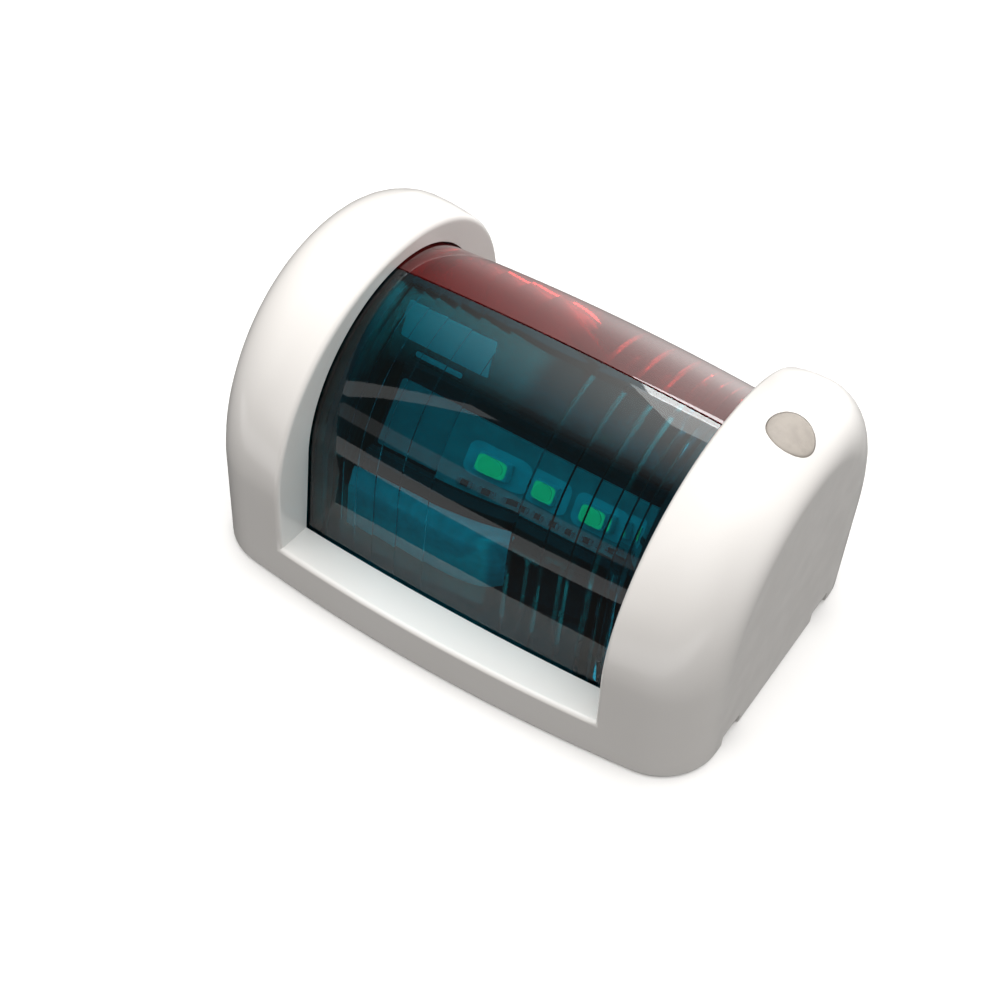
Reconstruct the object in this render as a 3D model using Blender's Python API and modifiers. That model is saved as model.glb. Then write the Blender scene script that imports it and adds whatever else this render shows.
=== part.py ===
"""Bulkhead bi-colour LED navigation light, lying on its mounting face.

Lengths are millimetres, turned into metres where a mesh or an object is made. +Z runs from the
mounting face out to the lens, +X towards the end that is the lower one on a boat, and -Y is the
starboard (green) side. The origin is the centre of the mounting face.
"""

import math

import bmesh
import bpy
from mathutils import Matrix, Vector

MM = 0.001
GAP = 0.3            # clearance between pieces that touch

# Cover: overall size and the outer form
LENGTH = 84.0
WIDTH_AT_ENDS = 53.0
SIDE_BOW = 3.3       # each long side bulges this much at mid-length
SIDE_FLARE = 0.8     # how much further out a side is at the springing of its arch
SPRING_Z = 18.4      # height where the side walls turn into the arch
CROWN_Z = 47.9
ARCH_POWER = 2.07    # 2 is an ellipse, and more is squarer
CROWN_X = 34.5       # the cheek is highest here
CROWN_FALL = 0.0384  # fall of the crown per mm squared towards the lens
END_LEAN = math.tan(math.radians(0.3))
SIDE_ROUND = 8.2     # radius of the vertical corners
TOP_ROUND = 8.0      # radius between the cheek's crown and its end face
COVER_FOOT = 0.3
COVER_WALL = 2.2

# Cover: the window between the two cheeks
WINDOW_HALF = 27.2
CHEEK_WALL = 2.0
LEDGE_OUTER = (35.0, 8.50)   # (y, z) on the ledge's plane, outside the cover
LEDGE_INNER = (21.0, 6.78)   # (y, z) on the same plane, inside the lens
LEDGE_THICK = 1.6
LENS_CLEARANCE = 0.35

# Drain notches in the lower end wall
NOTCH_Y = 14.0
NOTCH_WIDTH = 5.2
NOTCH_HEIGHT = 2.5

# Lens
LENS_R = 21.25
LENS_BULGE = 1.0     # the lens is this much fuller at mid-length
LENS_BULGE_HALF = 28.5
LENS_SPRING_Z = 21.5
LENS_DRAFT = math.tan(math.radians(2.5))   # the straight walls widen towards the foot
LENS_END = 28.85
LENS_WALL = 2.0
LENS_FOOT = 3.2
PRISM_DEPTH = 0.9
PRISM_EDGES = (6.8, 11.8, 15.9, 19.2, 21.6, 23.4, 24.9)

# Base plate
BASE_BOTTOM = 0.4
BASE_TOP = 3.9
BASE_CLEARANCE = 0.4
GROOVE_FLOOR = 1.9
MOUNT_HOLE = (34.2, 14.0, 1.9)      # x, y and radius, repeated in the four corners
GASKET_INSET = 1.2
GASKET_WIDTH = 2.4
GASKET_TOP = 1.5

# Cover screw and plug
SCREW_X = 36.0
BORE_R = 3.5
TOWER_R = 4.8
TOWER_BOTTOM = 10.2
TOWER_FLOOR = 12.0
PLUG_R = 3.3
PLUG_BOTTOM = 39.5
INSERT_R = 2.5
BOSS_R = 3.3
BOSS_TOP = 9.9

# Light engine
CARRIER_HALF = 21.5
FACE_TOP = (1.9, 25.15)      # (y, z) of the LED face's upper edge
FACE_BOTTOM = (8.4, 15.4)
CARRIER_WALL = 1.6
CARRIER_FOOT_Y = 13.6
DIVIDER_THICK = 1.2
DIVIDER_HALF = 24.1
BOARD_THICK = 1.0
PAD_THICK = 0.5
LED_COUNT = 3
LED_PITCH = 7.4
LED_ROW_X = 3.0
LED_SIZE = (3.6, 3.0, 0.9)
LEAD_R = 0.6
LEAD_CLEARANCE = 3.6         # from the LED face to the middle of a lead that lands on the board
DRIVER_X = (-11.0, 19.0)
DRIVER_HALF_WIDTH = 6.2
DRIVER_Z = (6.2, 7.8)
GROMMET_X = -17.0
CABLE_HOLE_R = 3.1

ARCH_STEPS = 24
LENS_STEPS = 20
PORT, STARBOARD = 1, -1
SIDE_NAMES = {STARBOARD: "green", PORT: "red"}


# ---------------------------------------------------------------- scene and materials

def clear_scene():
    for obj in list(bpy.data.objects):
        bpy.data.objects.remove(obj)


def new_collection(name):
    collection = bpy.data.collections.new(name)
    bpy.context.scene.collection.children.link(collection)
    return collection


def make_material(name, colour, roughness, metallic=0.0, transmission=0.0):
    material = bpy.data.materials.new(name)
    material.use_nodes = True
    shader = material.node_tree.nodes["Principled BSDF"]
    shader.inputs["Base Color"].default_value = (*colour, 1.0)
    shader.inputs["Roughness"].default_value = roughness
    shader.inputs["Metallic"].default_value = metallic
    shader.inputs["Transmission Weight"].default_value = transmission
    material.diffuse_color = (*colour, 1.0)
    return material


clear_scene()
PARTS = new_collection("navigation_light")
CUTTERS = new_collection("cutters")

WHITE_ASA = make_material("white_asa", (0.90, 0.89, 0.87), 0.18)
PLUG_GREY = make_material("plug_grey", (0.62, 0.58, 0.54), 0.55)
BLACK_PLASTIC = make_material("black_plastic", (0.025, 0.027, 0.03), 0.45)
GREEN_LENS = make_material("green_lens", (0.0, 0.28, 0.33), 0.06, transmission=1.0)
RED_LENS = make_material("red_lens", (0.55, 0.03, 0.03), 0.06, transmission=1.0)
SEAL_RUBBER = make_material("seal_rubber", (0.03, 0.03, 0.03), 0.8)
FOAM = make_material("foam", (0.06, 0.06, 0.065), 0.95)
STAINLESS = make_material("stainless", (0.62, 0.62, 0.63), 0.28, metallic=1.0)
BRASS = make_material("brass", (0.75, 0.57, 0.25), 0.3, metallic=1.0)
ALUMINIUM = make_material("black_anodised", (0.05, 0.055, 0.06), 0.4, metallic=1.0)
BOARD_WHITE = make_material("board_white", (0.80, 0.82, 0.80), 0.4)
BOARD_GREEN = make_material("board_green", (0.02, 0.18, 0.07), 0.35)
LED_PHOSPHOR = make_material("led_phosphor", (0.93, 0.80, 0.12), 0.4)
CHIP_BLACK = make_material("chip_black", (0.02, 0.02, 0.02), 0.5)
THERMAL_GREY = make_material("thermal_pad", (0.45, 0.50, 0.55), 0.9)
TERMINAL_GREEN = make_material("terminal_green", (0.05, 0.30, 0.12), 0.4)
LEAD_RED = make_material("lead_sleeve", (0.45, 0.03, 0.03), 0.5)


# ---------------------------------------------------------------- building blocks

def add_object(name, mesh, material=None, smooth_angle=35.0):
    """An object in the parts collection or, when it has no material, a hidden cutter."""
    obj = bpy.data.objects.new(name, mesh)
    if material is None:
        CUTTERS.objects.link(obj)
        obj.hide_render = True
        obj.display_type = "WIRE"
        return obj
    PARTS.objects.link(obj)
    mesh.materials.clear()
    mesh.materials.append(material)
    mesh.shade_smooth()
    mesh.set_sharp_from_angle(angle=math.radians(smooth_angle))
    return obj


def mesh_from(bm, name):
    bmesh.ops.recalc_face_normals(bm, faces=bm.faces)
    mesh = bpy.data.meshes.new(name)
    bm.to_mesh(mesh)
    bm.free()
    return mesh


def boolean(target, cutter, operation="DIFFERENCE"):
    modifier = target.modifiers.new(operation.lower(), "BOOLEAN")
    modifier.object = cutter
    modifier.operation = operation


def box(name, low, high, material=None):
    bm = bmesh.new()
    bmesh.ops.create_cube(bm, size=1.0)
    size = Vector(high) - Vector(low)
    middle = (Vector(high) + Vector(low)) / 2
    bmesh.ops.scale(bm, vec=size * MM, verts=bm.verts)
    bmesh.ops.translate(bm, vec=middle * MM, verts=bm.verts)
    return add_object(name, mesh_from(bm, name), material)


def cylinder(name, radius, z_low, z_high, centre=(0.0, 0.0), material=None, segments=24,
             top_radius=None):
    """An upright cylinder or, with a top_radius, a cone."""
    if top_radius is None:
        top_radius = radius
    bm = bmesh.new()
    bmesh.ops.create_cone(bm, cap_ends=True, segments=segments, radius1=radius * MM,
                          radius2=top_radius * MM, depth=(z_high - z_low) * MM)
    bmesh.ops.translate(bm, vec=Vector((*centre, (z_low + z_high) / 2)) * MM, verts=bm.verts)
    return add_object(name, mesh_from(bm, name), material)


def outline_mesh(name, outline, thickness):
    """A flat outline in XY, thickened evenly about Z = 0, as one welded mesh."""
    curve = bpy.data.curves.new(name, "CURVE")
    curve.dimensions = "2D"
    curve.fill_mode = "BOTH"
    curve.extrude = thickness / 2 * MM
    spline = curve.splines.new("POLY")
    spline.points.add(len(outline) - 1)
    for point, (x, y) in zip(spline.points, outline):
        point.co = (x * MM, y * MM, 0.0, 1.0)
    spline.use_cyclic_u = True
    source = bpy.data.objects.new(name + "_curve", curve)
    bpy.context.scene.collection.objects.link(source)
    graph = bpy.context.evaluated_depsgraph_get()
    mesh = bpy.data.meshes.new_from_object(source.evaluated_get(graph))
    bpy.data.objects.remove(source)
    bm = bmesh.new()
    bm.from_mesh(mesh)
    bmesh.ops.remove_doubles(bm, verts=bm.verts, dist=0.002 * MM)
    bpy.data.meshes.remove(mesh)
    return mesh_from(bm, name)


def plate(name, outline, z_low, z_high, material=None):
    """An outline in XY, thickened from z_low to z_high."""
    mesh = outline_mesh(name, outline, z_high - z_low)
    mesh.transform(Matrix.Translation((0, 0, (z_low + z_high) / 2 * MM)))
    return add_object(name, mesh, material)


def bar(name, outline, x_low, x_high, material=None):
    """An outline given as (y, z), drawn out along X from x_low to x_high."""
    mesh = outline_mesh(name, outline, x_high - x_low)
    stand_up = Matrix(((0, 0, 1, 0), (1, 0, 0, 0), (0, 1, 0, 0), (0, 0, 0, 1)))
    mesh.transform(Matrix.Translation(((x_low + x_high) / 2 * MM, 0, 0)) @ stand_up)
    return add_object(name, mesh, material)


def loft(name, sections, material=None):
    """A closed body through rings of equally many (x, y, z) points, with a flat face at each end."""
    bm = bmesh.new()
    rings = [[bm.verts.new(Vector(point) * MM) for point in ring] for ring in sections]
    count = len(rings[0])
    for ring, following in zip(rings, rings[1:]):
        for i in range(count):
            j = (i + 1) % count
            bm.faces.new((ring[i], ring[j], following[j], following[i]))
    bm.faces.new(rings[0])
    bm.faces.new(rings[-1])
    return add_object(name, mesh_from(bm, name), material)


def steps(low, high, count):
    return [low + (high - low) * i / count for i in range(count + 1)]


def mirrored(half):
    """A symmetric outline from its right-hand half, listed from the bottom to the top."""
    return half + [(-y, z) for y, z in reversed(half) if y > 1e-6]


def turned(name, profile, centre, material, segments=24):
    """A solid turned about the vertical line through centre, from (radius, z), top to bottom."""
    mesh = bpy.data.meshes.new(name)
    points = [(r * MM, 0.0, z * MM) for r, z in profile]
    mesh.from_pydata(points, [(i, i + 1) for i in range(len(points) - 1)], [])
    obj = add_object(name, mesh, material)
    obj.location = (centre[0] * MM, centre[1] * MM, 0.0)
    screw = obj.modifiers.new("turn", "SCREW")
    screw.steps = screw.render_steps = segments
    screw.use_merge_vertices = True
    screw.merge_threshold = 0.00001
    return obj


# ---------------------------------------------------------------- cover: outer form

def arch_points(foot_half, arch_half, spring_z, top_z, foot_z, count, power=2.0):
    """(y, z, outward y, outward z, share of the way up the arch) from the -Y foot to the +Y foot."""
    rise = top_z - spring_z
    found = [(-foot_half, foot_z, -1.0, 0.0, 0.0)]
    for angle in steps(0.0, math.pi, count):
        side = -math.copysign(abs(math.cos(angle)) ** (2 / power), math.cos(angle))
        up = max(math.sin(angle), 0.0) ** (2 / power)
        out_y = math.copysign(abs(side) ** (power - 1), side) / arch_half
        out_z = up ** (power - 1) / rise
        slope = math.hypot(out_y, out_z)
        found.append((side * arch_half, spring_z + up * rise, out_y / slope, out_z / slope, up * up))
    found.append((foot_half, foot_z, 1.0, 0.0, 0.0))
    return found


def side_half_width(x):
    return WIDTH_AT_ENDS / 2 + SIDE_BOW * (1 - (x / (LENGTH / 2)) ** 2)


def cover_form(name, inset, foot_z, material=None):
    """The cover's outer form, moved inwards by inset: bowed sides, an arched back and rounded ends.

    A station is a share of the straight run between the end roundings, or the turn round one end.
    """
    turns = [math.radians(a) for a in (15, 30, 45, 60, 75, 90)]
    stations = [(-1, a) for a in reversed(turns)]
    stations += [(0, share) for share in steps(-1.0, 1.0, 12)]
    stations += [(1, a) for a in turns]
    sections = []
    for end, value in stations:
        sections.append([cover_point(end, value, index, inset, foot_z) for index in range(ARCH_STEPS + 3)])
    return loft(name, sections, material)


def cover_point(end, value, index, inset, foot_z):
    """One point of the cover's form: at end -1 or 1 value is the turn, at 0 the share of the run."""
    lift = arch_points(1, 1, 0, 1, 0, ARCH_STEPS, ARCH_POWER)[index][4]
    radius = max(SIDE_ROUND + (TOP_ROUND - SIDE_ROUND) * lift ** 2 - inset, 0.5)
    run = LENGTH / 2 - inset - radius
    if end:
        x = end * (run + radius * math.sin(value))
        inward = inset + radius * (1 - math.cos(value))
    else:
        x = value * run
        inward = inset
    foot_half = side_half_width(x)
    crown = max(CROWN_Z - CROWN_FALL * min(0.0, abs(x) - CROWN_X) ** 2, CROWN_Z - 2.0)
    arch = arch_points(foot_half, foot_half + SIDE_FLARE, SPRING_Z, crown, foot_z, ARCH_STEPS, ARCH_POWER)
    y, z, out_y, out_z, _ = arch[index]
    y, z = y - out_y * inward, z - out_z * inward
    return (x * (1 - END_LEAN * max(z, 0.0) / (LENGTH / 2)), y, z)


def lens_half_width(x):
    return LENS_R + LENS_BULGE * (1 - (x / LENS_BULGE_HALF) ** 2)


def lens_form(name, grow, foot_z, stations, thickening=None, material=None):
    """The lens's outer form moved outwards by grow; thickening(x) moves it back in, as prisms do."""
    sections = []
    for x in stations:
        radius = lens_half_width(x) + grow - (thickening(x) if thickening else 0.0)
        foot_half = radius + LENS_DRAFT * (LENS_SPRING_Z - foot_z)
        arch = arch_points(foot_half, radius, LENS_SPRING_Z, LENS_SPRING_Z + radius, foot_z, LENS_STEPS)
        sections.append([(x, y, z) for y, z, *_ in arch])
    return loft(name, sections, material)


def window_outline(drop):
    """(y, z) of the space above the ledges, moved down by drop."""
    half = [(LEDGE_INNER[0], LEDGE_INNER[1] - drop), (LEDGE_OUTER[0], LEDGE_OUTER[1] - drop),
            (LEDGE_OUTER[0], 60.0)]
    return mirrored(half)


def make_cover():
    cover = cover_form("cover_shell", 0.0, COVER_FOOT, WHITE_ASA)
    inside = cover_form("cover_inside", COVER_WALL, -1.0)
    kept_half = WINDOW_HALF + CHEEK_WALL
    kept = bar("window_walls", window_outline(LEDGE_THICK), -kept_half, kept_half)
    tower = cylinder("tower_kept", TOWER_R, TOWER_BOTTOM, 60.0, (SCREW_X, 0.0))
    boolean(inside, kept)
    boolean(inside, tower)
    boolean(cover, inside)
    boolean(cover, bar("window", window_outline(0.0), -WINDOW_HALF, WINDOW_HALF))
    opening = lens_form("lens_opening", LENS_CLEARANCE, -1.0, steps(-31.0, 31.0, 16))
    boolean(cover, opening)
    for y in (-NOTCH_Y, NOTCH_Y):
        low = (LENGTH / 2 - 6.0, y - NOTCH_WIDTH / 2, -1.0)
        high = (LENGTH / 2 + 2.0, y + NOTCH_WIDTH / 2, NOTCH_HEIGHT)
        boolean(cover, box("drain_notch", low, high))
    boolean(cover, cylinder("plug_bore", BORE_R, TOWER_FLOOR, 60.0, (SCREW_X, 0.0)))
    boolean(cover, cylinder("screw_hole", 2.0, 5.0, 20.0, (SCREW_X, 0.0)))


def make_screw_plug():
    """A soft cup whose top follows the cheek's crown."""
    plug = cylinder("screw_plug", PLUG_R, PLUG_BOTTOM, 60.0, material=PLUG_GREY)
    plug.location.x = SCREW_X * MM
    boolean(plug, cover_form("plug_trim", 0.1, -1.0), "INTERSECT")
    boolean(plug, cylinder("plug_hollow", PLUG_R - 1.0, PLUG_BOTTOM - 2.0, 43.5, (SCREW_X, 0.0)))


def make_cover_screw():
    washer = [(3.1, 13.1), (3.1, 12.3), (2.0, 12.3), (2.0, 13.1), (3.1, 13.1)]
    turned("cover_screw_washer", washer, (SCREW_X, 0.0), SEAL_RUBBER)
    head = [(0.0, 15.8), (1.6, 15.75), (2.6, 15.3), (3.1, 14.4), (3.1, 13.4),
            (1.7, 13.4), (1.7, 5.2), (1.1, 4.6), (0.0, 4.6)]
    screw = turned("cover_screw", head, (SCREW_X, 0.0), STAINLESS)
    for index, size in enumerate(((1.7, 0.35), (0.35, 1.7))):
        low = (SCREW_X - size[0], -size[1], 14.6)
        high = (SCREW_X + size[0], size[1], 17.0)
        boolean(screw, box(f"cross_recess_{index}", low, high))
    insert = [(INSERT_R, 9.6), (INSERT_R, 4.6), (1.9, 4.6), (1.9, 9.6), (INSERT_R, 9.6)]
    turned("screw_insert", insert, (SCREW_X, 0.0), BRASS)


# ---------------------------------------------------------------- base plate and seals

def bowed_outline(half_length, half_width, corner, count=16):
    """A plan outline whose long sides follow half_width(x), with round corners."""
    first = half_length - corner
    side = [(x, half_width(x)) for x in steps(-first, first, count)]
    edge = half_width(first)
    turn = [(first + corner * math.sin(a), edge - corner * (1 - math.cos(a)))
            for a in steps(0.0, math.pi / 2, 4)[1:]]
    top = [(-x, y) for x, y in reversed(turn)] + side + turn
    return top + [(x, -y) for x, y in reversed(top)]


def base_outline(inset):
    corner = max(SIDE_ROUND - COVER_WALL - inset, 0.8)
    reach = COVER_WALL + BASE_CLEARANCE + inset
    return bowed_outline(LENGTH / 2 - reach, lambda x: side_half_width(x) - reach, corner)


def lens_outline(grow):
    """The lens's plan outline at its foot, moved outwards by grow."""
    spread = LENS_DRAFT * (LENS_SPRING_Z - LENS_FOOT) + grow
    return bowed_outline(LENS_END + grow, lambda x: lens_half_width(x) + spread, 0.6)


def ring_cutter(name, outer, inner, z_low, z_high):
    """The band between two outlines, as a cutter."""
    band = plate(name, outer, z_low, z_high)
    boolean(band, plate(name + "_core", inner, z_low - 1.0, z_high + 1.0))
    return band


def mount_corners():
    x, y, _ = MOUNT_HOLE
    return [(sx * x, sy * y) for sx in (-1, 1) for sy in (-1, 1)]


def make_base():
    base = plate("base_plate", base_outline(0.0), BASE_BOTTOM, BASE_TOP, BLACK_PLASTIC)
    boolean(base, cylinder("insert_boss", BOSS_R, 2.0, BOSS_TOP, (SCREW_X, 0.0)), "UNION")
    for x in (DRIVER_X[0] + 2.5, DRIVER_X[1] - 2.5):
        boolean(base, cylinder("driver_post", 1.9, 2.0, DRIVER_Z[0] - GAP, (x, 0.0)), "UNION")
        boolean(base, cylinder("driver_pilot", 0.8, 3.0, 9.0, (x, 0.0), segments=12))
    for y in (-11.0, 11.0):
        tab = box("locating_tab", (-38.2, y - 3.0, 2.0), (-36.6, y + 3.0, 10.0))
        boolean(base, tab, "UNION")
    boolean(base, ring_cutter("lens_groove", lens_outline(GAP), lens_outline(-LENS_WALL - PRISM_DEPTH - GAP),
                              GROOVE_FLOOR, BASE_TOP + 1.0))
    boolean(base, ring_cutter("gasket_groove", base_outline(GASKET_INSET),
                              base_outline(GASKET_INSET + GASKET_WIDTH + 2 * GAP),
                              -1.0, GASKET_TOP + GAP))
    for corner in mount_corners():
        boolean(base, cylinder("mount_hole", MOUNT_HOLE[2], -1.0, 6.0, corner))
    boolean(base, cylinder("insert_bore", INSERT_R + 0.1, 4.3, 12.0, (SCREW_X, 0.0)))
    boolean(base, cylinder("grommet_hole", 5.0, -1.0, 6.0, (GROMMET_X, 0.0)))
    for x, y in carrier_screw_places():
        boolean(base, cylinder("carrier_pilot", 1.35, 1.4, 6.0, (x, y), segments=12))


def make_seals():
    gasket = plate("mounting_gasket", base_outline(GASKET_INSET + GAP), 0.0, GASKET_TOP, FOAM)
    boolean(gasket, plate("gasket_core", base_outline(GASKET_INSET + GASKET_WIDTH + GAP), -1.0, 4.0))
    seal = plate("lens_seal", lens_outline(-0.1), GROOVE_FLOOR + GAP, LENS_FOOT - GAP, SEAL_RUBBER)
    boolean(seal, plate("seal_core", lens_outline(-LENS_WALL + 0.1), 0.0, 5.0))
    grommet = [(5.8, 5.9), (5.8, 4.2), (4.7, 4.2), (4.7, 0.4), (CABLE_HOLE_R, 0.4),
               (CABLE_HOLE_R, 8.4), (4.0, 8.4), (5.0, 5.9), (5.8, 5.9)]
    turned("cable_grommet", grommet, (GROMMET_X, 0.0), SEAL_RUBBER)


# ---------------------------------------------------------------- lens

def prism_thickening(x):
    """How far the inner surface stands in from the plain wall: a bull's-eye, then saw teeth."""
    distance = abs(x)
    if distance <= PRISM_EDGES[0]:
        return PRISM_DEPTH * (1 - (distance / PRISM_EDGES[0]) ** 2)
    for inner, outer in zip(PRISM_EDGES, PRISM_EDGES[1:]):
        if distance <= outer:
            return PRISM_DEPTH * (outer - distance) / (outer - inner)
    return 0.0


def prism_stations():
    """Cross-sections of the inner surface, with a steep riser on each prism's inner side."""
    riser = 0.03
    right = [1.7, 3.4, 5.1]
    for edge in PRISM_EDGES:
        right += [edge - riser, edge + riser]
    right.append(LENS_END - LENS_WALL)
    return [-x for x in reversed(right)] + [0.0] + right


def make_lens(side):
    """One half of the lens: a plain outer surface, with prisms inside, cut along the keel line."""
    name = SIDE_NAMES[side]
    material = GREEN_LENS if side == STARBOARD else RED_LENS
    outer = steps(-LENS_END, LENS_END, 14)
    lens = lens_form(f"lens_{name}", 0.0, LENS_FOOT, outer, material=material)
    boolean(lens, lens_form(f"{name}_inside", -LENS_WALL, -1.0, prism_stations(), prism_thickening))
    edges = sorted((-side * 30.0, side * GAP / 2))
    boolean(lens, box(f"{name}_other_half", (-40.0, edges[0], -2.0), (40.0, edges[1], 60.0)))


# ---------------------------------------------------------------- light engine

def carrier_screw_places():
    return [(sx * 15.0, sy * 11.6) for sx in (-1, 1) for sy in (-1, 1)]


def face_frame(side):
    """The middle of a LED face and the turn about X that points local +Z out of it."""
    y = (FACE_TOP[0] + FACE_BOTTOM[0]) / 2
    z = (FACE_TOP[1] + FACE_BOTTOM[1]) / 2
    fall = math.atan2(FACE_TOP[1] - FACE_BOTTOM[1], FACE_BOTTOM[0] - FACE_TOP[0])
    return Vector((0.0, side * y, z)), -side * fall


def on_face(obj, side):
    """Places an object, modelled with the LED face as its Z = 0, on that side's face."""
    place, turn = face_frame(side)
    obj.location = place * MM
    obj.rotation_euler = (turn, 0.0, 0.0)
    return obj


def make_carrier():
    run = FACE_BOTTOM[0] - FACE_TOP[0]
    drop = FACE_TOP[1] - FACE_BOTTOM[1]
    wall_across = CARRIER_WALL * math.hypot(run, drop) / drop
    leg_inner = FACE_BOTTOM[0] - CARRIER_WALL
    slot_floor = FACE_TOP[1] - 0.5
    inner_top = slot_floor - 1.8

    ridge = FACE_BOTTOM[0] - wall_across - (inner_top - FACE_BOTTOM[1]) * run / drop
    knee = inner_top - (leg_inner - ridge) * drop / run
    foot_z = BASE_TOP + GAP
    slot = DIVIDER_THICK / 2 + GAP
    half = [(ridge, inner_top), (leg_inner, knee), (leg_inner, foot_z),
            (CARRIER_FOOT_Y, foot_z), (CARRIER_FOOT_Y, foot_z + CARRIER_WALL),
            (FACE_BOTTOM[0], foot_z + CARRIER_WALL), FACE_BOTTOM, FACE_TOP,
            (FACE_TOP[0], FACE_TOP[1] + 2.2), (slot, FACE_TOP[1] + 2.2), (slot, slot_floor)]
    carrier = bar("led_carrier", mirrored(half), -CARRIER_HALF, CARRIER_HALF, ALUMINIUM)
    for index, (x, y) in enumerate(carrier_screw_places()):
        boolean(carrier, cylinder("carrier_hole", 1.5, 3.0, 7.0, (x, y), segments=16))
        top = foot_z + CARRIER_WALL + GAP
        head = [(0.0, top + 1.6), (1.3, top + 1.5), (2.1, top + 0.8), (2.1, top),
                (1.15, top), (1.15, 1.8), (0.0, 1.8)]
        turned(f"carrier_screw_{index + 1}", head, (x, y), STAINLESS, segments=14)

    top = LENS_SPRING_Z + LENS_R - LENS_WALL - PRISM_DEPTH - 0.6
    box("sector_divider", (-DIVIDER_HALF, -DIVIDER_THICK / 2, slot_floor + GAP),
        (DIVIDER_HALF, DIVIDER_THICK / 2, top), BLACK_PLASTIC)


def board_half_length():
    return LED_PITCH * LED_COUNT / 2 + 2.2


def make_led_board(side):
    name = SIDE_NAMES[side]
    length = math.hypot(FACE_BOTTOM[0] - FACE_TOP[0], FACE_TOP[1] - FACE_BOTTOM[1]) - 1.0
    low, high = LED_ROW_X - board_half_length(), LED_ROW_X + board_half_length()
    pad_top = GAP + PAD_THICK
    board_low = pad_top + GAP
    board_top = board_low + BOARD_THICK
    on_face(box(f"thermal_pad_{name}", (low + 0.5, -length / 2 + 0.5, GAP),
                (high - 0.5, length / 2 - 0.5, pad_top), THERMAL_GREY), side)
    on_face(box(f"led_board_{name}", (low, -length / 2, board_low),
                (high, length / 2, board_top), BOARD_WHITE), side)
    across, deep, tall = LED_SIZE
    seat = board_top + GAP
    for index in range(LED_COUNT):
        x = LED_ROW_X + (index - (LED_COUNT - 1) / 2) * LED_PITCH
        led = box(f"led_{name}_{index + 1}", (x - across / 2, -deep / 2, seat),
                  (x + across / 2, deep / 2, seat + tall), LED_PHOSPHOR)
        dome = cylinder("led_dome", 1.35, seat + tall - 0.2, seat + tall + 0.7, (x, 0.0),
                        segments=16, top_radius=0.7)
        boolean(led, dome, "UNION")
        on_face(led, side)
        on_face(dome, side)
    rail_edges = sorted((side * (length / 2 + GAP), side * (length / 2 + GAP + 1.5)))
    on_face(box(f"board_rail_{name}", (-CARRIER_HALF, rail_edges[0], GAP),
                (CARRIER_HALF, rail_edges[1], board_top + 0.6), BLACK_PLASTIC), side)


def make_driver():
    low, high = DRIVER_X
    board = box("driver_board", (low, -DRIVER_HALF_WIDTH, DRIVER_Z[0]),
                (high, DRIVER_HALF_WIDTH, DRIVER_Z[1]), BOARD_GREEN)
    top = DRIVER_Z[1] + GAP
    for index, x in enumerate((low + 2.5, high - 2.5)):
        boolean(board, cylinder("driver_hole", 1.2, 5.0, 9.0, (x, 0.0), segments=16))
        head = [(0.0, top + 1.2), (1.2, top + 1.1), (1.7, top + 0.6), (1.7, top),
                (0.7, top), (0.7, 3.4), (0.0, 3.4)]
        turned(f"driver_screw_{index + 1}", head, (x, 0.0), STAINLESS, segments=12)
    box("driver_inductor", (7.4, -2.9, top), (13.2, 2.9, top + 3.2), CHIP_BLACK)
    cylinder("driver_capacitor", 2.4, top, top + 5.2, (3.4, 3.0), ALUMINIUM, segments=20)
    box("driver_chip", (1.2, -4.6, top), (6.0, -0.8, top + 1.5), CHIP_BLACK)
    terminal = box("terminal_block", (-6.2, -4.8, top), (-0.6, 4.8, top + 6.0), TERMINAL_GREEN)
    for y in (-2.4, 2.4):
        boolean(terminal, cylinder("terminal_screw_well", 1.5, top + 3.6, top + 8.0, (-3.4, y), segments=14))
        boolean(terminal, box("wire_port", (-8.0, y - 1.2, top + 0.8), (-4.4, y + 1.2, top + 3.0)))


def make_led_lead(side):
    """A sleeved lead from the driver board, out of the carrier's end and onto the LED board."""
    middle, turn = face_frame(side)
    over_board = Matrix.Rotation(turn, 3, "X") @ Vector((0.0, 0.0, LEAD_CLEARANCE))
    landing = middle + over_board + Vector((board_half_length() + LED_ROW_X - 1.6, 0.0, 0.0))
    route = [(17.6, side * 4.6, 8.9), (20.0, side * 4.6, 9.4), (22.6, side * 5.0, 10.6),
             (23.4, side * 6.4, 14.0), (23.2, landing.y * 0.98, 18.6),
             (21.4, landing.y, landing.z - 0.6), landing]
    curve = bpy.data.curves.new(f"led_lead_{SIDE_NAMES[side]}", "CURVE")
    curve.dimensions = "3D"
    curve.bevel_depth = LEAD_R * MM
    curve.bevel_resolution = 2
    curve.use_fill_caps = True
    spline = curve.splines.new("POLY")
    points = smooth_route(route, 4)
    spline.points.add(len(points) - 1)
    for point, place in zip(spline.points, points):
        point.co = (*(Vector(place) * MM), 1.0)
    obj = bpy.data.objects.new(curve.name, curve)
    curve.materials.append(LEAD_RED)
    PARTS.objects.link(obj)


def smooth_route(route, between):
    """Points on a Catmull-Rom curve through the route."""
    points = [Vector(p) for p in route]
    padded = [2 * points[0] - points[1], *points, 2 * points[-1] - points[-2]]
    found = [points[0]]
    for a, b, c, d in zip(padded, padded[1:], padded[2:], padded[3:]):
        for t in steps(0.0, 1.0, between)[1:]:
            found.append(0.5 * (2 * b + (c - a) * t + (2 * a - 5 * b + 4 * c - d) * t * t
                                + (3 * b - a - 3 * c + d) * t ** 3))
    return found


def make_end_baffle(name, x_low, x_high):
    """A black arch that closes the light engine off from the lens's end wall."""
    radius = LENS_R - LENS_WALL - 0.6
    half = [(radius, BASE_TOP + GAP), (radius, LENS_SPRING_Z)]
    half += [(radius * math.cos(a), LENS_SPRING_Z + radius * math.sin(a))
             for a in steps(0.0, math.pi / 2, 12)[1:]]
    bar(name, mirrored(half), x_low, x_high, BLACK_PLASTIC)


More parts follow.
